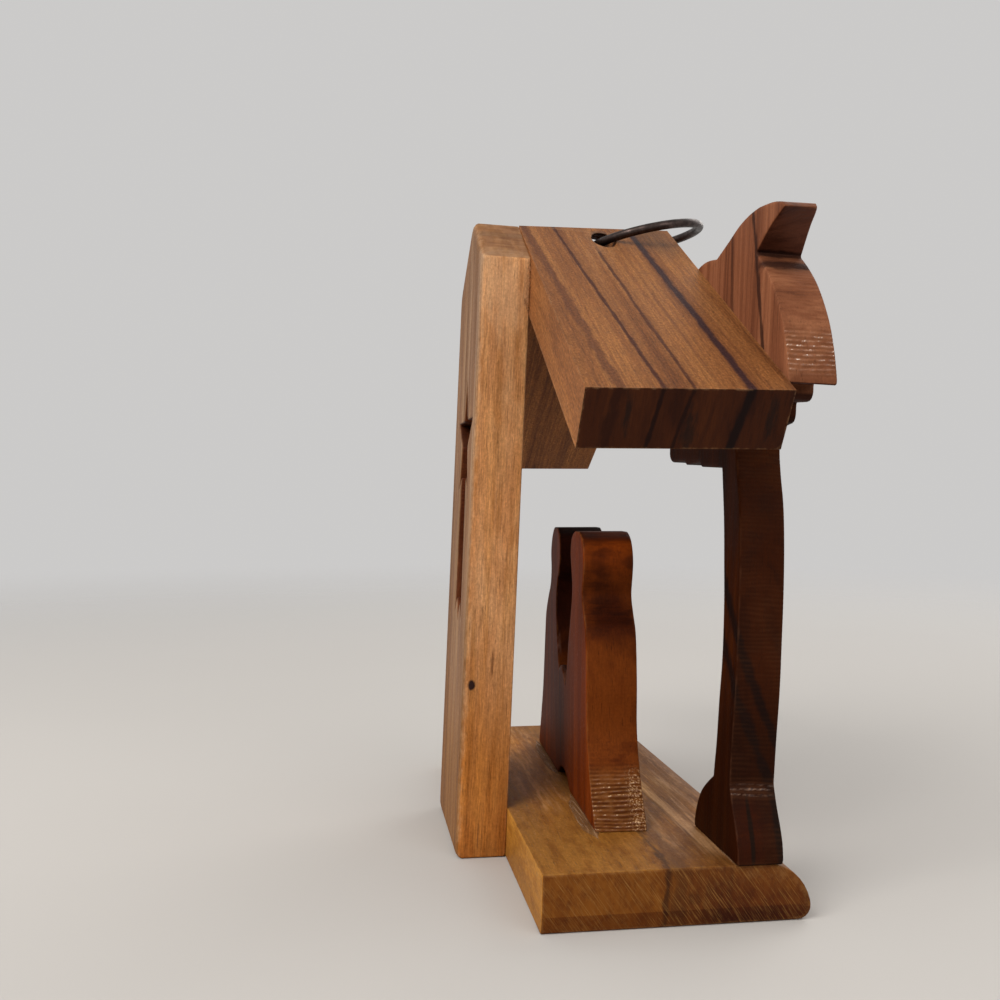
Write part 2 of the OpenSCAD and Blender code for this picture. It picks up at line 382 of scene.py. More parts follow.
class Wood(Surface):
    """A varnished olive wood, on which tones are laid one after the other."""

    def __init__(self, name, grain, origin, kind, seed, **growth):
        shader_groups()
        super().__init__(name, grain, origin)
        colours = bpy.context.scene.stable_colours
        pale, middle, dark, self.worn = (getattr(colours, f"{kind}_{shade}") for shade in SHADES)
        self.seed = seed
        agreed = self.math("ABSOLUTE", self.vector("DOT_PRODUCT", self.normal, grain[0]))
        self.end = self.step(agreed, *FACING)
        grown = self.group("olive_grain", Vector=self.place, Pale=pale, Middle=middle, Dark=dark,
                           End=self.end, Seed=seed, **growth)
        self.tint, self.height = grown["Color"], grown["Height"]

    def lay(self, mask, share, tone, kind="MIX"):
        """Lay a tone over the wood where a mask says so."""
        self.tint = self.blend(self.times(mask, share), self.tint, tone, kind)

    def within(self, group, **shape):
        """Where a streak or a patch of some shape is."""
        return self.group(group, Vector=self.place, **shape)["Mask"]

    def streak(self, tone, share, kind="MIX", **shape):
        """Lay a streak over the wood."""
        self.lay(self.within("heart_streak", **shape), share, tone, kind)

    def streaky(self, tone, share, stretch, kind="MIX", **shape):
        """Lay many thin streaks over the wood, within the bounds of one broad streak."""
        lines = self.step(self.noise(self.place, stretch, shape["Seed"], 3.0, 0.6), 0.44, 0.64)
        self.lay(self.times(self.within("heart_streak", **shape), lines), share, tone, kind)

    def mottled(self, tone, stretch):
        """Multiply a tone in, in small clouds."""
        clouds = self.noise(self.place, stretch, self.seed + 3, 3.0, 0.65)
        self.lay(self.step(clouds, 0.42, 0.66), 1.0, tone, "MULTIPLY")

    def patch(self, tone, share, **shape):
        """Lay a soft patch over the wood."""
        self.lay(self.within("stain_patch", **shape), share, tone)

    def shade(self, tone, **shape):
        """Multiply a tone in within a soft patch."""
        self.lay(self.within("stain_patch", **shape), 1.0, tone, "MULTIPLY")

    def ends(self, tone):
        """Darken the faces along the grain, where varnish soaks in; on some pieces it is painted shade too.
        """
        self.lay(self.end, 1.0, tone, "MULTIPLY")

    def paint_light_on_facing(self, way, tone):
        """Painted light and shade: multiply a tone in on the faces that look one way."""
        agreed = self.vector("DOT_PRODUCT", self.normal, way)
        self.lay(self.step(agreed, *FACING), 1.0, tone, "MULTIPLY")

    def along(self, tone, start, stop, wobble):
        """Multiply a tone in, from none of it at one place along the grain to all of it at another."""
        drift = self.noise(self.place, (0.05, 0.35, 0.2), self.seed, 3.0)
        place = self.math("ADD", self.parts(self.place)[0], self.line(drift, wobble, wobble / -2))
        self.lay(self.step(place, start, stop), 1.0, tone, "MULTIPLY")

    def scratches(self, tone, share, turn):
        """Sanding scratches on the ends, at an angle to the board's face."""
        turned = self.get("ShaderNodeMapping", {"Vector": self.place, "Rotation": (turn, 0, 0)})
        lines = self.step(self.noise(turned, (0.4, 0.3, 8.0), self.seed, 3.0, 0.7), 0.48, 0.72)
        lines = self.times(lines, self.end)
        self.lay(lines, share, tone)
        self.height = self.math("ADD", self.height, lines)

    def painted(self, attribute, tone, share, kind="MULTIPLY", **shape):
        """Lay a tone where the mesh carries an attribute; a shape keeps it within one soft patch."""
        mask = self.carried(attribute)
        if shape:
            mask = self.times(mask, self.within("stain_patch", **shape))
        self.lay(mask, share, tone, kind)

    def wear(self, share):
        """Bare paler wood along the edges."""
        worn = self.group("worn_arris", Edge=self.carried("edge"), Vector=self.place, Seed=self.seed)["Mask"]
        self.lay(worn, share, self.worn)

    def fibres_and_painted_glints(self, tone, painted_glint, ground, reach=None):
        """Show bare fibres on the crests of the blade marks, with painted glints of varnish as pale dots.

        With a reach, painted glints also stand between the crests, within that reach of the board's front.
        """
        crest, rough, wall = (self.carried(name) for name in ("crest", "rough", "wall"))
        self.lay(self.times(self.step(rough, 0.3, 0.9), wall), ground, tone)
        torn = self.step(self.noise(self.place, (3.0, 3.0, 3.0), self.seed, 2.0), 0.36, 0.62)
        self.lay(self.times(crest, torn), 0.75, tone)
        bright = self.step(crest, 0.45, 0.9)
        if reach:
            near = self.step(self.parts(self.place)[2], reach, reach / 2)
            near = self.times(near, self.step(rough, 0.35, 0.9), wall)
            bright = self.math("MINIMUM", self.line(near, 0.6, bright), 1.0)
        dots = self.step(self.noise(self.place, (5.0, 5.0, 5.0), self.seed + 5, 2.0), 0.51, 0.63)
        dots = self.times(dots, bright)
        self.lay(dots, 0.9, painted_glint)
        self.set(Coat_Weight=self.math("MAXIMUM", dots, crest))

    def finish(self, roughness, depth, speckle, gloss=0.1):
        """Join colour, gloss and relief to the shader."""
        grit = self.group("varnish_grit", Vector=self.place, Seed=self.seed)
        spots = self.times(self.math("SUBTRACT", grit["Height"], 0.5), speckle)
        light = self.line(spots, self.rest(self.end), 1.0)
        dull = self.line(grit["Specks"], -0.15, roughness)
        self.set(Base_Color=self.scaled(self.tint, light), Roughness=self.line(self.height, 0.12, dull),
                 Specular_IOR_Level=gloss, Coat_Roughness=0.2)
        self.relief(self.line(grit["Height"], 0.4, self.height), strength=0.6, millimetres=depth)
        return self.material


def merged_copy(node):
    """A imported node's solid with its loose triangles joined."""
    solid = bmesh.new()
    solid.from_mesh(frame["nodes"][node].data)
    bmesh.ops.remove_doubles(solid, verts=solid.verts, dist=SAME_POINT)
    solid.normal_update()
    return solid


class Board:
    """Front face of a packed board: its axes, thickness and outlines, from its foot on the ground."""

    # Height above the foot over which the lean is taken out, so that the foot is level
    SETTLE = 10 * MM

    def __init__(self, node):
        solid = merged_copy(node)
        forward = [face for face in solid.faces if face.normal.y < -ROUGHLY]
        front = max(forward, key=lambda face: face.calc_area())
        self.normal = front.normal.copy()
        self.up = (Vector((0, 0, 1)) - self.normal * self.normal.z).normalized()
        self.right = self.up.cross(self.normal)
        self.grain = (self.up[:], self.right[:], (-self.normal)[:])
        depths = [vert.co.dot(self.normal) for vert in solid.verts]
        plane = max(depths)
        self.thickness = plane - min(depths)
        self.origin = self.normal * plane - self.up * (self.normal.z * plane / self.up.z)
        faces = [face for face in solid.faces if face.normal.dot(self.normal) > SAME_WAY
                 and face.calc_center_median().dot(self.normal) > plane - 10 * SAME_POINT]
        self.outlines = self.borders(faces)
        self.foot = min(points[:, 1].min() for points in self.outlines)
        solid.free()

    def borders(self, faces):
        """Closed outlines of some faces, each with the wood on its left; the outer one comes first."""
        within, following = set(faces), {}
        for face in faces:
            for loop in face.loops:
                if not any(other in within for other in loop.edge.link_faces if other is not face):
                    following[loop.vert] = loop.link_loop_next.vert
        outlines = []
        while following:
            chain = [next(iter(following))]
            while following[chain[-1]] is not chain[0]:
                chain.append(following[chain[-1]])
            for vert in chain:
                del following[vert]
            places = [vert.co - self.origin for vert in chain]
            outlines.append(np.array([(place.dot(self.right), place.dot(self.up)) for place in places]))
        return sorted(outlines, key=lambda points: points[:, 1].min())

    def at(self, across, height, depth):
        """A point of the board, from its place on the face and its depth behind the face."""
        levelled = max(0.0, 1 - (height - self.foot) / self.SETTLE)
        height -= depth * (self.normal.z / self.normal.y) * levelled
        return self.origin + self.right * across + self.up * height - self.normal * depth


def smoothed(points, rounds):
    """A closed outline with its corners worn down a little in each round."""
    for _ in range(rounds):
        points = (np.roll(points, 1, axis=0) + 2 * points + np.roll(points, -1, axis=0)) / 4
    return points


def eased_outline(points, step, ease):
    """A closed outline in even steps with rounded corners, and the way along it."""
    closed = np.vstack([points, points[:1]])
    along = np.concatenate([[0], np.cumsum(np.hypot(*np.diff(closed, axis=0).T))])
    count = int(round(along[-1] / step))
    places = np.arange(count) * along[-1] / count
    even = np.column_stack([np.interp(places, along, closed[:, axis]) for axis in (0, 1)])
    return smoothed(even, round(2 * (ease / step) ** 2)), places


def outline_axes(points):
    """Unit vectors along a closed outline and towards the wood on its left, at each of its points."""
    along = np.roll(points, -2, axis=0) - np.roll(points, 2, axis=0)
    along = along / np.hypot(*along.T)[:, None]
    return along, np.column_stack([-along[:, 1], along[:, 0]])


def inset_outlines(points, distances, step):
    """Copies of a closed outline moved inwards; points that crowd in a corner are spread out."""
    spread_rounds, rounds_per_ease = 20, 4
    found, done = {}, 0.0
    for distance in sorted(set(distances)):
        count = math.ceil((distance - done) / step)
        for _ in range(count):
            points = points + outline_axes(points)[1] * (distance - done) / count
            for turn in range(spread_rounds):
                along, inward = outline_axes(points)
                pull = (np.roll(points, 1, axis=0) + np.roll(points, -1, axis=0)) / 2 - points
                points = points + along * (pull * along).sum(axis=1)[:, None] / 2
                if turn % rounds_per_ease == 0:
                    points = points + inward * np.clip((pull * inward).sum(axis=1), 0, None)[:, None] / 2
        found[distance] = points
        done = distance
    return found


def board_rings(thickness, front_arris, back_arris, wear):
    """Rings through a board from front to back: depth, inset, edge wear and share of the blade marks."""
    # Angles round an arris in degrees, and the wear at each
    turns = ((0, 0.75), (30, 1.0), (60, 1.0), (90, 0.75))
    wall_parts = 12

    def rounded(radius):
        rings = [(0.0, radius + wear, 0.0, 0.0)]
        for angle, worn in turns:
            turn = math.radians(angle)
            rings.append((radius * (1 - math.cos(turn)), radius * (1 - math.sin(turn)), worn, math.sin(turn)))
        return rings

    first, last = front_arris + wear, thickness - back_arris - wear
    wall = [(first + (last - first) * part / wall_parts, 0.0, 0.0, 1.0) for part in range(wall_parts + 1)]
    back = [(thickness - depth, *others) for depth, *others in reversed(rounded(back_arris))]
    return rounded(front_arris) + wall + back


def rough_share(points, rough_places):
    """How rough the saw left each point of an outline.

    Each rough place has its place across and up the board, its reach and its share, in millimetres.
    """
    fall = 1.5
    rough = np.zeros(len(points))
    for across, height, reach, share in rough_places:
        away = np.hypot(points[:, 0] - across * MM, points[:, 1] - height * MM) / (reach * MM)
        rough = np.maximum(rough, share * np.clip(fall - fall * away, 0, 1))
    return rough


def corner_share(points, step):
    """How sharp a corner each point of an outline is on."""
    span, gentle = 4, 0.35
    bend = np.hypot(*(np.roll(points, -span, axis=0) + np.roll(points, span, axis=0) - 2 * points).T)
    return np.clip(bend / (span * step) - gentle, 0, 1)


def sawn_board(name, board, back_arris, rough_places, shape=None):
    """A board sawn along a packed outline, with rounded edges and room for blade marks on its wall.

    The shape moves the points of a ring, given with its share of the board's depth.
    """
    sizes = bpy.context.scene.stable_sizes
    step = sizes.outline_step
    inset_step = 0.15 * step
    mesh = bmesh.new()
    carried = ("along", "across", "edge", "wall", "rough", "inner")
    layers = [mesh.verts.layers.float.new(key) for key in carried]
    caps = ([], [])
    for order, outline in enumerate(board.outlines):
        points, along = eased_outline(outline, step, sizes.corner_ease)
        far_arris = sizes.arris if order else back_arris
        rings = board_rings(board.thickness, sizes.arris, far_arris, sizes.wear_width)
        insets = inset_outlines(points, [inset for _, inset, _, _ in rings], inset_step)
        rough, corner = rough_share(points, rough_places), corner_share(points, step)
        rows = []
        for depth, inset, edge, share in rings:
            places = insets[inset] if shape is None else shape(insets[inset], depth / board.thickness)
            row = [mesh.verts.new(board.at(across, height, depth)) for across, height in places]
            for index, vert in enumerate(row):
                worn = max(edge, corner[index] if share else 0.0)
                values = (along[index], depth, worn, share, rough[index], share if order else 0.0)
                for layer, value in zip(layers, values):
                    vert[layer] = value
            rows.append(row)
        for one, two in zip(rows, rows[1:]):
            for index in range(len(one)):
                mesh.faces.new((one[index - 1], one[index], two[index], two[index - 1])).smooth = True
        for cap, row in zip(caps, (rows[0], rows[-1])):
            cap.extend(mesh.edges.get((row[index - 1], row[index])) for index in range(len(row)))
    for cap in caps:
        for edge in cap:
            edge.smooth = False
        bmesh.ops.triangle_fill(mesh, use_beauty=True, edges=cap)
    if not all(edge.is_manifold for edge in mesh.edges):
        raise RuntimeError(f"{name} isn't closed")
    bmesh.ops.recalc_face_normals(mesh, faces=mesh.faces)
    return as_object(name, mesh)


def as_object(name, mesh):
    """A new object at the origin from a finished bmesh."""
    data = bpy.data.meshes.new(name)
    mesh.to_mesh(data)
    mesh.free()
    piece = bpy.data.objects.new(name, data)
    bpy.context.scene.collection.objects.link(piece)
    return piece


def settle(piece):
    """Turn a piece with modifiers into a plain mesh."""
    graph = bpy.context.evaluated_depsgraph_get()
    mesh = bpy.data.meshes.new_from_object(
        piece.evaluated_get(graph), preserve_all_data_layers=True, depsgraph=graph)
    before = piece.data
    piece.modifiers.clear()
    piece.data = mesh
    bpy.data.meshes.remove(before)
    mesh.name = piece.name


def run_tree(piece, tree_name, **values):
    """Run a geometry node tree on a piece with values for its inputs, and keep the result."""
    modifier = piece.modifiers.new(tree_name, "NODES")
    modifier.node_group = bpy.data.node_groups[tree_name]
    sockets = {item.name: item.identifier for item in modifier.node_group.interface.items_tree
               if item.in_out == "INPUT"}
    for key, value in values.items():
        modifier[sockets[spaced(key)]] = value
    settle(piece)


def ending(bench, shape, material, out):
    """Close a geometry tree: real geometry with its material."""
    real = bench.get("GeometryNodeRealizeInstances", {0: shape})
    painted = bench.get("GeometryNodeSetMaterial", {"Geometry": real, "Material": material})
    bench.feed(out["Geometry"], painted)


def blade_marks_tree():
    """Geometry tree that cuts blade marks into the wall of a sawn board."""
    bench, given, out = new_group(
        "Geometry", "blade_marks", {"Geometry": "Geometry"}, Geometry="Geometry", Mark_Gap=0.00052,
        Mark_Depth=0.00006, Fine_Share=0.16, Seed=0.0, Material="Material")
    seed = given["Seed"]
    along, across, rough, wall = (
        bench.get("GeometryNodeInputNamedAttribute", {"Name": name}, data_type="FLOAT")
        for name in ("along", "across", "rough", "wall"))
    marks = bench.math("DIVIDE", along, given["Mark Gap"])
    place = bench.joined(X=marks, Y=bench.math("DIVIDE", across, given["Mark Gap"]))
    uneven = bench.noise(place, (0.13, 0.05, 0.0), seed, 2.0)
    turn = bench.times(bench.line(uneven, 3.0, marks), 2 * math.pi)
    wave = bench.line(bench.math("SINE", turn), 0.5, 0.5)
    broken = bench.step(bench.noise(place, (0.5, 0.3, 0.0), seed, 2.0), 0.3, 0.56)
    fine = bench.noise(place, (1.1, 0.7, 0.0), seed, 2.0, 0.7)
    sparse = bench.step(bench.noise(place, (0.9, 0.8, 0.0), seed, 2.0, 0.6), 0.43, 0.59)
    strength = bench.step(bench.noise(place, (0.05, 0.06, 0.0), seed, 1.0), 0.3, 0.7)
    rough = bench.math("MAXIMUM", rough, bench.times(given["Fine Share"], strength))
    mark = bench.times(bench.line(fine, 0.6, bench.times(wave, broken)), rough, wall)
    crest = bench.times(bench.step(wave, 0.45, 0.05), sparse, bench.step(rough, 0.5, 0.95), wall)
    push = bench.times(mark, given["Mark Depth"], -1.0)
    offset = bench.scaled(bench.get("GeometryNodeInputNormal"), push)
    moved = bench.get("GeometryNodeSetPosition", {"Geometry": given["Geometry"], "Offset": offset})
    for name, value in (("mark", mark), ("crest", crest)):
        moved = bench.get("GeometryNodeStoreNamedAttribute", {
            "Geometry": moved, "Name": name, "Value": value}, data_type="FLOAT", domain="POINT")
    ending(bench, moved, given["Material"], out)


def wire_ring_tree():
    """Geometry tree for a ring bent from one length of wire, with its cut ends nearly closed."""
    bench, given, out = new_group(
        "Geometry", "wire_ring", {"Geometry": "Geometry"}, Geometry="Geometry", Ring_Radius=0.008,
        Wire=0.0012, Gap=0.0001, Tilt=0.0, Centre="Vector", Unevenness=0.00006, Seed=0.0, Material="Material")
    seam_angle = math.radians(38)
    open_angle = bench.math("DIVIDE", given["Gap"], given["Ring Radius"])
    arc = bench.get("GeometryNodeCurveArc", {
        "Resolution": 144, "Radius": given["Ring Radius"],
        "Start Angle": bench.line(open_angle, 0.5, seam_angle),
        "Sweep Angle": bench.math("SUBTRACT", 2 * math.pi, open_angle)}, mode="RADIUS")
    circle = bench.get("GeometryNodeCurvePrimitiveCircle", {
        "Resolution": 20, "Radius": bench.times(given["Wire"], 0.5)}, mode="RADIUS")
    place = bench.get("GeometryNodeInputPosition")
    bends = bench.add("ShaderNodeTexNoise", {
        "Vector": place, "W": given["Seed"], "Scale": 160.0, "Detail": 1.0}, noise_dimensions="4D")
    bends = bench.vector("SUBTRACT", bends.outputs["Color"], (0.5, 0.5, 0.5))
    offset = bench.scaled(bends, given["Unevenness"])
    bent = bench.get("GeometryNodeSetPosition", {"Geometry": arc, "Offset": offset})
    tube = bench.get("GeometryNodeCurveToMesh", {"Curve": bent, "Profile Curve": circle, "Fill Caps": True})
    placed = bench.get("GeometryNodeTransform", {
        "Geometry": tube, "Translation": given["Centre"],
        "Rotation": bench.joined(X=bench.times(given["Tilt"], -1.0))})
    ending(bench, bench.get("GeometryNodeSetShadeSmooth", {"Geometry": placed}), given["Material"], out)


def glue_bead_tree():
    """Geometry tree for a bead of glue along a path, thin at both ends and pressed flat on a level."""
    bench, given, out = new_group(
        "Geometry", "glue_bead", {"Geometry": "Geometry"}, Geometry="Geometry", Width=0.0015, Flatness=0.4,
        Level=0.0, Seed=0.0, Material="Material")
    curve = bench.get("GeometryNodeMeshToCurve", {"Mesh": given["Geometry"]})
    fine = bench.get("GeometryNodeResampleCurve", {"Curve": curve, "Length": 0.0002}, mode="LENGTH")
    along = bench.get("GeometryNodeSplineParameter")
    taper = bench.times(bench.step(along, 0.0, 0.2), bench.step(bench.rest(along), 0.0, 0.3))
    place = bench.get("GeometryNodeInputPosition")
    lumps = bench.noise(place, (230.0, 230.0, 230.0), given["Seed"], 1.0, 0.4)
    radius = bench.line(bench.times(taper, bench.math("ADD", lumps, 0.45)), 0.95, 0.05)
    profile = bench.get("GeometryNodeCurvePrimitiveCircle", {
        "Resolution": 28, "Radius": bench.times(given["Width"], 0.5)}, mode="RADIUS")
    tube = bench.get("GeometryNodeCurveToMesh", {
        "Curve": fine, "Profile Curve": profile, "Scale": radius, "Fill Caps": True})
    above = bench.math("SUBTRACT", bench.parts(place)[2], given["Level"])
    drop = bench.times(above, bench.math("SUBTRACT", given["Flatness"], 1.0))
    pressed = bench.get("GeometryNodeSetPosition", {"Geometry": tube, "Offset": bench.joined(Z=drop)})
    ending(bench, bench.get("GeometryNodeSetShadeSmooth", {"Geometry": pressed}), given["Material"], out)


def geometry_trees():
    """Build every geometry tree once."""
    if "blade_marks" not in bpy.data.node_groups:
        blade_marks_tree()
        wire_ring_tree()
        glue_bead_tree()


def eased_solid(node, strips):
    """A packed block with rounded edges, and thin strips cut beside them so that the wear stays there.

    Each strip ends at a plane, given by its axis and its distance along it.
    """
    flat_angle, facet_angle, edge_angle = 1, 12, 24
    solid = merged_copy(node)
    bmesh.ops.dissolve_limit(
        solid, angle_limit=math.radians(flat_angle), verts=solid.verts, edges=solid.edges)
    angles = {edge: math.degrees(edge.calc_face_angle()) for edge in solid.edges if edge.is_manifold}
    for edge, angle in angles.items():
        on_end = all(abs(face.normal.x) > ROUGHLY for face in edge.link_faces)
        edge.smooth = not (angle > facet_angle and on_end)
    worn = solid.verts.layers.float.new("edge")
    rounded = solid.faces.layers.int.new("rounded")
    made = bmesh.ops.bevel(
        solid, geom=[edge for edge, angle in angles.items() if angle > edge_angle],
        offset=bpy.context.scene.stable_sizes.arris, offset_type="OFFSET", segments=3, profile=0.5,
        affect="EDGES", clamp_overlap=True)
    for face in made["faces"]:
        face[rounded] = 1
    for axis, distance in strips:
        bmesh.ops.bisect_plane(
            solid, geom=[*solid.verts, *solid.edges, *solid.faces], plane_co=axis * distance, plane_no=axis,
            dist=SAME_POINT)
    for vert in solid.verts:
        vert[worn] = float(any(face[rounded] for face in vert.link_faces))
    solid.faces.layers.int.remove(rounded)
    return solid


def smooth_faces(piece):
    """Smooth shading with flat faces kept flat by their area."""
    piece.data.shade_smooth()
    modifier = piece.modifiers.new("flat_faces", "WEIGHTED_NORMAL")
    modifier.weight = 100
    modifier.keep_sharp = True
    settle(piece)


def cut_marks(piece, material, fine, seed):
    """Cut the blade marks into a sawn board."""
    sizes = bpy.context.scene.stable_sizes
    run_tree(piece, "blade_marks", Mark_Gap=sizes.mark_gap, Mark_Depth=sizes.mark_depth, Fine_Share=fine,
             Seed=seed, Material=material)


def fit(piece, node):
    """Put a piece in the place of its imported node, on the body that carries the node."""
    bodies = frame["record"]["behaviour"]["bodies"]
    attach(piece, next(body for body, members in bodies.items() if node in members))
    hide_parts(node)


class STABLE_OT_post(bpy.types.Operator):
    """Make the back post from its sawn outline, with the star pierced through it"""

    bl_idname = "stable.make_post"
    bl_label = "Back Post"

    def execute(self, context):
        sizes, colours = context.scene.stable_sizes, context.scene.stable_colours
        geometry_trees()
        board = Board("back_post")
        wood = Wood("post_olive", board.grain, board.origin, "post", 3.1,
                    Ring_Gap=2.6, Line_Share=0.35, Fibre_Share=1.6)
        brown = (0.16, 0.06, 0.02)
        wood.along((0.66, 0.48, 0.23), start=36, stop=8, wobble=8.0)
        # Painted shade on the back face, with a painted sheen on its lower part
        wood.paint_light_on_facing(board.grain[2], (0.66, 0.78, 1.05))
        wood.shade((1.5, 1.7, 2.0), Centre=(8, 0, 7), Reach=(26, 30, 2.2), Ragged=0.2, Soft=0.8, Seed=9.0)
        wood.shade((1.22, 1.22, 1.2), Centre=(47, -12, 3), Reach=(20, 9, 9), Ragged=0.2, Soft=0.8, Seed=3.0)
        for tone, seed in (((0.74, 0.66, 0.5), 14.0), ((1.25, 1.28, 1.2), 15.0)):
            wood.streaky(tone, 0.8, (0.04, 0.3, 0.9), "MULTIPLY", Half_Width=40.0, Seed=seed)
        wood.streak(brown, 0.4, Centre=-4.5, Half_Width=1.6, Wander=1.4, Seed=4.0)
        wood.streak(brown, 0.45, Centre=6.5, Half_Width=1.2, Wander=1.2, Seed=8.0)
        wood.patch(wood.worn, 0.4, Centre=(74, -12, 3), Reach=(8, 3, 4), Ragged=1.2, Soft=0.8, Seed=2.0)
        # Two fine cracks in the near side
        wood.patch(brown, 0.8, Centre=(24.9, -12.1, 2.8), Reach=(2.2, 3, 0.2), Ragged=0.5, Soft=0.5, Seed=6.0)
        wood.patch(brown, 0.7, Centre=(2.6, -12.1, 3.75), Reach=(2.8, 3, 0.12), Ragged=0.3, Soft=0.6,
                   Seed=7.0)
        wood.ends((0.54, 0.56, 0.6))
        wood.wear(0.28)
        # The small knot near the back edge
        wood.patch(colours.heartwood, 1.0, Centre=(22.2, -12.1, 5.4), Reach=(0.85, 1.5, 0.6), Ragged=0.25,
                   Soft=0.45, Seed=1.0)
        # Painted shade on the walls inside the pierced star
        wood.painted("inner", (0.26, 0.14, 0.11), 1.0)
        # Painted shade in the grooves of the blade marks
        wood.painted("mark", (0.55, 0.36, 0.26), 0.6)
        piece = sawn_board("back_post_board", board, sizes.post_arris, rough_places=[(-1.8, 45, 11, 0.6)])
        cut_marks(piece, wood.finish(roughness=0.62, depth=0.06, speckle=0.9), fine=0.0, seed=1.0)
        fit(piece, "back_post")
        return {"FINISHED"}


class STABLE_OT_base(bpy.types.Operator):
    """Make the base plate with its rounded nose and sanded ends"""

    bl_idname = "stable.make_base"
    bl_label = "Base Plate"

    def execute(self, context):
        sizes, colours = context.scene.stable_sizes, context.scene.stable_colours
        end_slant, nose = 0.6 * MM, 2.4 * MM
        low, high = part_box("base_plate")
        strip = sizes.arris + sizes.wear_width
        inner = high.x - end_slant - strip
        along, across, up = (Vector(axis) for axis in LEVEL_GRAIN)
        solid = eased_solid("base_plate", [
            (along, inner), (along, -inner), (across, high.y - strip), (across, low.y + nose),
            (up, high.z - strip), (up, strip)])
        piece = as_object("base_plate_board", solid)
        wood = Wood("base_olive", LEVEL_GRAIN, (0, 0, 0), "base", 11.7,
                    Ring_Gap=3.4, Line_Share=0.25, Fibre_Share=0.7)
        pink, brown = (0.54, 0.3, 0.14), (0.085, 0.035, 0.014)
        wood.streak((0.92, 0.9, 1.15), 1.0, "MULTIPLY", Centre=-10.6, Half_Width=9.0, Drift=0.02, Lean=-0.12,
                    Wander=0.8, Soft=0.12, Ragged=0.15, Seed=2.0)
        wood.mottled((0.76, 0.68, 0.58), stretch=(0.35, 0.9, 0.9))
        for tone, share, stretch, seed in ((brown, 0.14, 1.0, 10.0), (pink, 0.6, 0.8, 9.0)):
            wood.streaky(tone, share, (0.05, stretch, 0.4), Centre=-9.4, Half_Width=6.2, Wander=0.8, Soft=0.5,
                         From=-33.0, Ragged=0.5, Seed=seed)
            wood.streaky(tone, share * 0.8, (0.09, stretch, 0.4), Centre=5.4, Half_Width=4.6, Wander=2.5,
                         Soft=0.8, From=-14.0, Ragged=0.6, Seed=seed + 5)
        # The dark streak across the near end, with its heart
        for tone, centre, width in ((brown, -4.3, 2.4), (colours.heartwood, -2.9, 0.55)):
            wood.streak(tone, 0.6, Centre=centre, Half_Width=width, Drift=-0.03, Lean=-0.1, Wander=0.7,
                        Soft=0.9, Ragged=1.1, To=-22.0, Seed=5.0)
        # Painted light that lifts the cast shadows on the top, behind the figures and in front of them, and
        # on the back side
        wood.shade((1.75, 1.6, 1.25), Centre=(10, 6.0, 6), Reach=(34, 7, 9), Ragged=0.4, Soft=0.8, Seed=3.0)
        wood.shade((1.95, 2.1, 1.8), Centre=(4, -6.5, 6), Reach=(30, 6, 6), Ragged=0.4, Soft=0.8, Seed=13.0)
        wood.paint_light_on_facing((0, 1, 0), (1.95, 2.1, 2.0))
        # Painted shade on the faces that look down towards the near end
        wood.paint_light_on_facing((-0.5, 0, -0.87), (0.65, 0.45, 0.3))
        # The near end is darker towards the nose, with painted shade on its lower facet there
        wood.shade((0.62, 0.5, 0.4), Centre=(-38.5, -11, 2), Reach=(2.5, 11, 6), Ragged=0.3, Soft=0.6,
                   Seed=16.0)
        wood.shade((0.47, 0.3, 0.12), Centre=(-38.5, -12, 0.4), Reach=(2.5, 9, 2.4), Ragged=0.3, Soft=0.6,
                   Seed=17.0)
        wood.ends((0.6, 0.45, 0.25))
        wood.scratches((0.32, 0.155, 0.04), share=0.5, turn=math.radians(-55))
        wood.wear(0.16)
        piece.data.materials.append(wood.finish(roughness=0.58, depth=0.05, speckle=0.7))
        smooth_faces(piece)
        fit(piece, "base_plate")
        return {"FINISHED"}


def roof_grain(side):
    """Grain axes of a roof plank: down the slope, front to back, and through the plank."""
    down = Vector((side * math.cos(ROOF_SLOPE), 0, -math.sin(ROOF_SLOPE)))
    across = Vector((0, 1, 0))
    return down, across, down.cross(across)


def roof_plank(node, grain):
    """A roof plank with rounded edges, and the place of its ridge at the back."""
    sizes = bpy.context.scene.stable_sizes
    strip = sizes.arris + sizes.wear_width
    down, _, through = grain
    lean = Vector((0, math.cos(POST_LEAN), math.sin(POST_LEAN)))
    corners = [vert.co for vert in frame["nodes"][node].data.vertices]
    ridge = max(corners, key=lambda corner: (round(corner.z / MM, 2), corner.y)).copy()
    ways = ((down, max, -1), (lean, max, -1), (lean, min, 1), (through, min, 1), (through, max, -1))
    solid = eased_solid(node, [
        (axis, end(corner.dot(axis) for corner in corners) + sign * strip) for axis, end, sign in ways])
    return as_object(node + "_board", solid), ridge


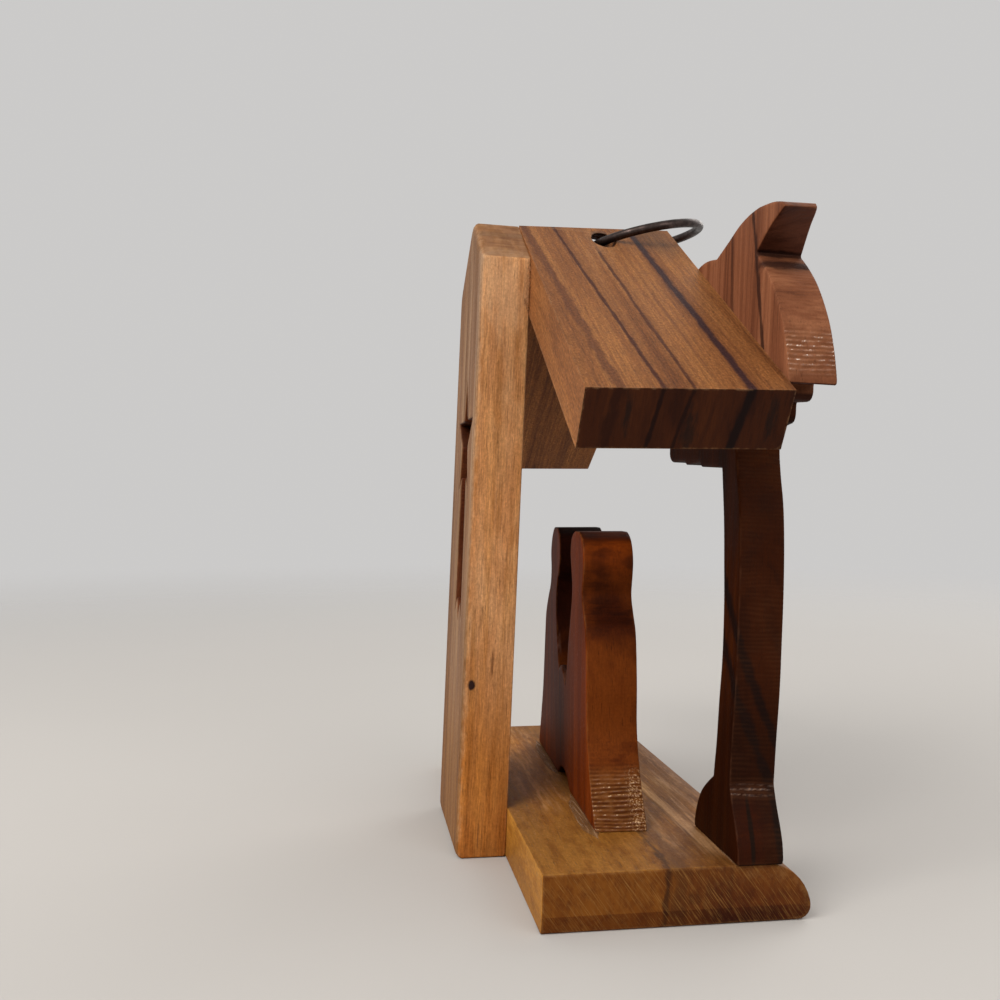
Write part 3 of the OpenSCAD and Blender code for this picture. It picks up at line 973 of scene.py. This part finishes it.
class STABLE_OT_roof(bpy.types.Operator):
    """Make the two roof planks with the hole through their ridge"""

    bl_idname = "stable.make_roof"
    bl_label = "Roof Planks"

    def execute(self, context):
        heart = context.scene.stable_colours.heartwood
        brown, red, purple = (0.085, 0.026, 0.011), (0.05, 0.013, 0.006), (0.03, 0.011, 0.012)
        # Each plank's side, its seed and the strength of its streaks
        planks = (("roof_plank_left", -1, 21.0, 1.0), ("roof_plank_right", 1, 34.0, 0.25))
        for node, side, seed, dark in planks:
            grain = roof_grain(side)
            piece, ridge = roof_plank(node, grain)
            wood = Wood(node + "_olive", grain, ridge, "roof", seed,
                        Ring_Gap=3.0, Wave=1.2, Line_Share=0.4, Fibre_Share=1.7)
            # Heartwood from the back to the front, some of it with a soft brown side
            wood.streak(brown, 0.75 * dark, Centre=-0.6, Half_Width=0.9, Drift=-0.03, Lean=-0.15 * side,
                        Wander=0.3, Seed=seed)
            wood.streak(brown, 0.35 * dark, Centre=-5.5, Half_Width=1.7, Drift=-0.035, Lean=-0.17 * side,
                        Wander=0.4, Soft=1.0, Seed=seed + 2)
            wood.streak(red, 0.95 * dark, Centre=-4.85, Half_Width=0.36, Drift=-0.035, Lean=-0.17 * side,
                        Wander=0.25, Seed=seed + 3)
            for tone, share, centre, width, soft, order in (
                    (brown, 0.3, -9.4, 1.1, 1.0, 4), (red, 0.85, -9.05, 0.32, 0.7, 5)):
                wood.streak(tone, share * dark, Centre=centre, Half_Width=width, Drift=-0.015,
                            Lean=-0.2 * side, Wander=0.35, Soft=soft, From=9.0, Seed=seed + order)
            wood.streak(brown, 0.3, Centre=-12.6, Half_Width=0.35, Lean=-0.2 * side, Wander=0.5,
                        Seed=seed + 6)
            for tone, share, width, soft in ((brown, 0.6, 1.35, 1.0), (purple, 0.95, 0.62, 0.6)):
                wood.streak(tone, share * dark, Centre=-15.6, Half_Width=width, Drift=-0.006,
                            Lean=-0.2 * side, Wander=0.3, Soft=soft, Ragged=0.5, Seed=seed + 7)
            # Dark wood round the ring's hole
            wood.patch(heart, 0.9, Centre=(5, -11.1, 1), Reach=(4.6, 2.3, 3), Ragged=0.5, Soft=0.5, Seed=seed)
            # Painted light on the back face, and painted shade near the ridge in front of the ring
            wood.paint_light_on_facing((0, 1, 0), (1.6, 1.65, 1.8))
            wood.shade((0.62, 0.66, 0.7), Centre=(2, -18.0, 0), Reach=(15, 5, 4), Ragged=0.4, Soft=0.8,
                       Seed=seed)
            # Darker end grain on the eaves, with painted shade as they face down
            wood.ends((0.2, 0.12, 0.08))
            # Black stains on the eave: place across and through the plank, and reach both ways
            stains = ((-10.0, 4.8, 1.1, 3.4), (-18.4, 3.0, 0.8, 3.2), (-3.4, 3.0, 0.6, 3.4))
            for across, through, wide, deep in stains:
                wood.patch((0.008, 0.004, 0.003), 0.7, Centre=(55.3, across, -through * side),
                           Reach=(2.5, wide, deep), Ragged=1.0, Soft=0.8, Seed=seed + across)
            wood.wear(0.3)
            piece.data.materials.append(wood.finish(roughness=0.62, depth=0.07, speckle=1.7))
            smooth_faces(piece)
            fit(piece, node)
        return {"FINISHED"}


class STABLE_OT_figures(bpy.types.Operator):
    """Make the pair of faceless figures sawn from one board"""

    bl_idname = "stable.make_figures"
    bl_label = "Figures"

    def execute(self, context):
        geometry_trees()
        board = Board("family_figures")
        wood = Wood("figure_olive", board.grain, board.origin, "figure", 47.3,
                    Ring_Gap=4.0, Line_Share=0.45, Fibre_Share=0.6)
        # Painted light on the back face
        wood.paint_light_on_facing(board.grain[2], (1.5, 1.25, 1.0))
        # A dark neck, and painted light on the head
        wood.shade((0.34, 0.26, 0.22), Centre=(31, -16.5, 2.8), Reach=(6.4, 6, 6), Ragged=0.5, Soft=0.9,
                   Seed=1.0)
        wood.shade((2.2, 2.0, 1.5), Centre=(42, -19, 2.5), Reach=(7, 7, 8), Ragged=0.3, Soft=0.8, Seed=2.0)
        # Painted shade on the walls in the notch between the figures
        wood.painted("wall", (0.22, 0.16, 0.2), 1.0, Centre=(37, 1, 2.5), Reach=(17, 11, 12), Ragged=0.1,
                     Soft=0.3)
        # Painted shade on the tops of the figures, which look along the grain
        wood.ends((0.4, 0.36, 0.4))
        wood.wear(0.5)
        # Painted highlights on the rounded edges at the foot of the notch
        wood.painted("edge", (0.4, 0.2, 0.14), 0.8, "MIX", Centre=(25, 0.5, 5), Reach=(5, 6, 4), Ragged=0.9,
                     Soft=0.6)
        # Bare fibres on the blade marks at the feet, with painted glints of varnish, also near the front
        wood.fibres_and_painted_glints((0.32, 0.13, 0.03), (0.8, 0.53, 0.27), ground=0.42, reach=2.4)
        # Painted shade in the grooves of the blade marks
        wood.painted("mark", (0.4, 0.27, 0.16), 0.9)
        piece = sawn_board("figures_board", board, context.scene.stable_sizes.arris, rough_places=[
            (-22.3, 9, 7, 1.0), (23.5, 9, 6, 0.8)])
        material = wood.finish(roughness=0.6, depth=0.04, speckle=0.6, gloss=0.05)
        cut_marks(piece, material, fine=0.14, seed=2.0)
        fit(piece, "family_figures")
        return {"FINISHED"}


def askew_tip(points, depth_share):
    """The palm's upper frond was sawn askew: its tip is longer and lower at the back than at the front."""
    root, reach, foot = -35.5 * MM, 5.6 * MM, 73.4 * MM
    stretch, drop = 0.32, 0.6 * MM
    across, height = points[:, 0], points[:, 1]
    out = np.where(height > foot, np.clip(root - across, 0, None), 0)
    back = 2 * depth_share - 1
    return np.column_stack([across - out * stretch * back, height - drop * back * np.clip(out / reach, 0, 1)])


class STABLE_OT_palm(bpy.types.Operator):
    """Make the palm tree sawn from one board"""

    bl_idname = "stable.make_palm"
    bl_label = "Palm Tree"

    def execute(self, context):
        heart, black = context.scene.stable_colours.heartwood, (0.006, 0.002, 0.0015)
        geometry_trees()
        board = Board("palm_tree")
        wood = Wood("palm_olive", board.grain, board.origin, "palm", 63.9,
                    Ring_Gap=3.0, Line_Share=0.38, Fibre_Share=0.6)
        # A dark trunk below the crown, and darker towards the foot
        wood.along((0.175, 0.09, 0.012), start=61, stop=55, wobble=9.0)
        wood.along((0.45, 0.42, 0.4), start=30, stop=18, wobble=6.0)
        wood.streak(heart, 0.85, Centre=-56.56, Half_Width=0.7, Drift=0.288, Wander=0.15, From=58.0, Seed=1.0)
        wood.streak(heart, 0.5, Centre=-37.4, Half_Width=0.6, Drift=0.13, Wander=0.2, From=58.0, Seed=2.0)
        for centre, seed in ((-49.9, 3.0), (-45.0, 4.0)):
            wood.streak(black, 0.9, Centre=centre, Half_Width=1.7, Drift=0.83, Lean=-1.9, Wander=0.5,
                        From=8.0, To=40.0, Seed=seed)
        # Two black lines down the near side of the foot, and paler wood beside them
        for depth, width in ((3.5, 0.35), (0.0, 1.1)):
            wood.patch((0.004, 0.002, 0.0015), 0.9, Centre=(9, -36.5, depth), Reach=(7, 5, width), Ragged=0.4,
                       Soft=0.5, Seed=5.0)
        wood.shade((1.5, 1.3, 0.9), Centre=(9, -36.5, 3.8), Reach=(8, 4, 2.6), Ragged=0.4, Soft=0.7, Seed=8.0)
        # Painted shade in the fork under the upper frond, in the near black of the heartwood
        wood.patch(heart, 0.75, Centre=(73.4, -38.8, 2.6), Reach=(3.0, 3.6, 6), Ragged=0.4, Soft=0.7,
                   Seed=6.0)
        wood.patch(heart, 0.9, Centre=(72.2, -37.4, 2.6), Reach=(0.9, 2.2, 6), Ragged=0.5, Soft=0.6, Seed=7.0)
        # Painted shade on the faces that look down, and painted light on the back face
        wood.paint_light_on_facing((-0.5, 0, -0.866), (0.4, 0.34, 0.4))
        wood.paint_light_on_facing((0, 1, 0), (1.25, 1.25, 1.25))
        wood.wear(0.12)
        # Painted highlights on the blade marks of the dark trunk, and painted shade in those of the crown
        wood.painted("mark", (0.08, 0.028, 0.01), 0.4, "MIX")
        # Bare fibres and painted glints of varnish on the crests of the blade marks
        wood.fibres_and_painted_glints((0.36, 0.17, 0.08), (1.0, 0.84, 0.72), ground=0.0)
        piece = sawn_board("palm_board", board, context.scene.stable_sizes.arris, rough_places=[
            (-45.3, 62, 4.6, 1.0), (-42.5, 69, 6, 0.3), (-33.5, 52, 8, 0.45), (-35.2, 14.0, 1.9, 0.95),
            (-14, 51, 12, 0.5)], shape=askew_tip)
        material = wood.finish(roughness=0.6, depth=0.04, speckle=0.3, gloss=0.05)
        cut_marks(piece, material, fine=0.6, seed=3.0)
        fit(piece, "palm_tree")
        return {"FINISHED"}


def wire_material(dark):
    """Dark wire with dull scratches."""
    wire = Surface("dark_wire")
    worn = wire.step(wire.noise(wire.place, (0.9, 0.9, 0.9), 5.0, 4.0, 0.7), 0.42, 0.68)
    wire.set(Base_Color=wire.blend(worn, dark, [2.2 * part for part in dark]),
             Roughness=wire.line(worn, -0.14, 0.46), Metallic=0.85)
    wire.relief(wire.noise(wire.place, (6.0, 6.0, 6.0), 6.0, 2.0), strength=0.3, millimetres=0.02)
    return wire.material


class STABLE_OT_ring(bpy.types.Operator):
    """Make the wire ring that hangs through the ridge"""

    bl_idname = "stable.make_ring"
    bl_label = "Hanger Ring"

    def execute(self, context):
        sizes = context.scene.stable_sizes
        geometry_trees()
        low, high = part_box("hanger_ring")
        radius = (high.x - low.x - sizes.wire) / 2
        tilt = math.asin((high.z - low.z - sizes.wire) / (2 * radius))
        piece = as_object("hanger_ring_wire", bmesh.new())
        run_tree(piece, "wire_ring", Ring_Radius=radius, Wire=sizes.wire, Gap=sizes.wire_gap, Tilt=tilt,
                 Centre=(low + high) / 2, Seed=4.0, Material=wire_material(context.scene.stable_colours.wire))
        fit(piece, "hanger_ring")
        return {"FINISHED"}


def glue_material(name, tone, evenness):
    """Dried glue or filler, milky in streaks; an even film shows less of the streaks."""
    glue = Surface(name)
    milky = glue.step(glue.noise(glue.place, (0.15, 3.4, 1.2), 2.0, 2.0, 0.6), 0.42, 0.72)
    glue.set(Base_Color=glue.blend(milky, [0.5 * part ** 1.2 for part in tone], tone),
             Alpha=glue.line(milky, 1 - evenness, evenness / 2), Roughness=0.5, Specular_IOR_Level=0.06)
    glue.relief(milky, strength=0.3, millimetres=0.05)
    return glue.material


class STABLE_OT_glue(bpy.types.Operator):
    """Make the glue that was squeezed out of the joints"""

    bl_idname = "stable.make_glue"
    bl_label = "Glue"

    def execute(self, context):
        sizes, colours = context.scene.stable_sizes, context.scene.stable_colours
        geometry_trees()
        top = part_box("base_plate")[1].z / MM
        post, outside = Board("back_post"), 0.15
        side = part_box("back_post")[1].x / MM + outside
        corner = post.origin / MM - post.right * side - post.normal * outside
        film = glue_material("dried_glue", colours.glue, evenness=0.7)
        filler = glue_material("sawdust_filler", colours.filler, evenness=0.0)
        # Each bead's width as a share of the full width, its flatness, and its path in millimetres
        beads = (
            ("glue_left_foot", film, 1.25, 0.35,
             [(-26.0, 2.9, top), (-20, 3.0, top), (-13, 2.7, top), (-6.5, 2.2, top)]),
            ("glue_right_foot", film, 1.1, 0.35,
             [(3.5, 1.9, top), (10, 1.8, top), (17, 1.6, top), (25.5, 1.2, top)]),
            ("glue_palm_foot", film, 0.3, 0.7, [(-38, -9.95, top), (-33, -10.15, top), (-22, -10.7, top)]),
            ("glue_post_corner", filler, 0.62, 1.0,
             [corner + post.up * height for height in (70.6, 73.0, 76.0, 77.6)]))
        for seed, (name, material, share, flatness, path) in enumerate(beads):
            mesh = bmesh.new()
            verts = [mesh.verts.new(Vector(point) * MM) for point in path]
            for one, two in zip(verts, verts[1:]):
                mesh.edges.new((one, two))
            piece = as_object(name, mesh)
            run_tree(piece, "glue_bead", Width=sizes.glue_width * share, Flatness=flatness, Level=top * MM,
                     Seed=float(seed), Material=material)
            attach(piece, "stable")
        return {"FINISHED"}


def floor_material(pale):
    """Pale floor that fades out far from the object."""
    floor = Surface("pale_floor")
    cloudy = floor.noise(floor.place, (0.009, 0.009, 0.009), 1.0, 2.0)
    floor.set(Base_Color=floor.blend(cloudy, pale, [0.96 * part for part in pale]), Roughness=0.9,
              Specular_IOR_Level=0.2)
    fade_start, fade_stop = 80.0, 600.0
    gone = floor.step(floor.vector("LENGTH", floor.place), fade_start, fade_stop)
    clear = floor.get("ShaderNodeBsdfTransparent")
    mixed = floor.get("ShaderNodeMixShader", {0: gone, 1: floor.shader.outputs[0], 2: clear})
    floor.feed(floor.tree.nodes["Material Output"].inputs["Surface"], mixed)
    return floor.material


def light_world(backdrop):
    """Soft light from above on dull surfaces, and a plain pale backdrop for every other ray."""
    world = bpy.data.worlds.new("studio")
    world.use_nodes = True
    bpy.context.scene.world = world
    tree = world.node_tree
    bench = NodeBench(tree)
    ray = bench.add("ShaderNodeLightPath").outputs
    seen = bench.math("MAXIMUM", ray["Is Camera Ray"], ray["Is Transmission Ray"])
    seen = bench.math("MAXIMUM", seen, ray["Is Glossy Ray"])
    height = bench.parts(bench.add("ShaderNodeTexCoord").outputs["Generated"])[2]
    strength = bench.line(bench.step(height, -0.25, 0.9), 0.72, 0.06)
    soft = bench.get("ShaderNodeBackground", {"Color": (1.0, 0.985, 0.97), "Strength": strength})
    plain = tree.nodes["Background"]
    bench.feed(plain.inputs["Color"], backdrop)
    mixed = bench.get("ShaderNodeMixShader", {0: seen, 1: soft, 2: plain.outputs[0]})
    bench.feed(tree.nodes["World Output"].inputs["Surface"], mixed)


def lamp(name, place, size, power, tone):
    """A soft square lamp that looks at the middle of the ornament."""
    data = bpy.data.lights.new(name, "AREA")
    data.size = size
    data.energy = power
    data.color = tone
    light = bpy.data.objects.new(name, data)
    light.location = place
    aim = (CAD_BOX[0] + CAD_BOX[1]) / 2 - Vector(place)
    light.rotation_euler = aim.to_track_quat("-Z", "Y").to_euler()
    bpy.context.scene.collection.objects.link(light)


def photo_camera():
    """Camera beside the ornament, behind the post, as in the photograph."""
    data = bpy.data.cameras.new("photo_camera")
    data.sensor_width = 36.0
    data.lens = 39.04
    data.clip_start = 5 * MM
    camera = bpy.data.objects.new("photo_camera", data)
    camera.location = (-151.23 * MM, 32.59 * MM, 47.09 * MM)
    turn, dip = math.radians(8.15), math.radians(0.30)
    ahead = Vector((math.cos(dip) * math.cos(turn), -math.cos(dip) * math.sin(turn), -math.sin(dip)))
    camera.rotation_euler = ahead.to_track_quat("-Z", "Y").to_euler()
    bpy.context.scene.collection.objects.link(camera)
    bpy.context.scene.camera = camera


class STABLE_OT_stage(bpy.types.Operator):
    """Make the pale floor, the lights and the camera"""

    bl_idname = "stable.make_stage"
    bl_label = "Stage"

    def execute(self, context):
        colours = context.scene.stable_colours
        floor_radius, floor_drop = 0.9, 0.05 * MM
        disc = bmesh.new()
        bmesh.ops.create_circle(disc, cap_ends=True, segments=96, radius=floor_radius)
        for vert in disc.verts:
            vert.co.z = -floor_drop
        ground = as_object("floor", disc)
        ground.data.materials.append(floor_material(colours.floor))
        light_world(colours.backdrop)
        for name, (place, size, power, tone) in LAMPS.items():
            lamp(name, place, size, power, tone)
        photo_camera()
        return {"FINISHED"}


PIECE_OPERATORS = (STABLE_OT_stage, STABLE_OT_post, STABLE_OT_base, STABLE_OT_roof, STABLE_OT_figures,
                   STABLE_OT_palm, STABLE_OT_ring, STABLE_OT_glue)


class STABLE_PT_panel(bpy.types.Panel):
    """Sizes, colours and pieces of the stable"""

    bl_idname = "STABLE_PT_panel"
    bl_label = "Hanging Stable"
    bl_space_type = "VIEW_3D"
    bl_region_type = "UI"
    bl_category = "Stable"

    def draw(self, context):
        for group in (context.scene.stable_sizes, context.scene.stable_colours):
            column = self.layout.column()
            for key in group.__annotations__:
                column.prop(group, key)
        for operator in PIECE_OPERATORS:
            self.layout.operator(operator.bl_idname)


CLASSES = (StableSizes, StableColours, *PIECE_OPERATORS, STABLE_PT_panel)


def register():
    for cls in CLASSES:
        bpy.utils.register_class(cls)
    bpy.types.Scene.stable_sizes = bpy.props.PointerProperty(type=StableSizes)
    bpy.types.Scene.stable_colours = bpy.props.PointerProperty(type=StableColours)


def unregister():
    del bpy.types.Scene.stable_colours
    del bpy.types.Scene.stable_sizes
    for cls in reversed(CLASSES):
        bpy.utils.unregister_class(cls)


def main():
    register()
    bpy.context.scene.view_settings.view_transform = "Standard"
    for operator in PIECE_OPERATORS:
        module, name = operator.bl_idname.split(".")
        getattr(getattr(bpy.ops, module), name)()


if __name__ == "__main__":
    main()
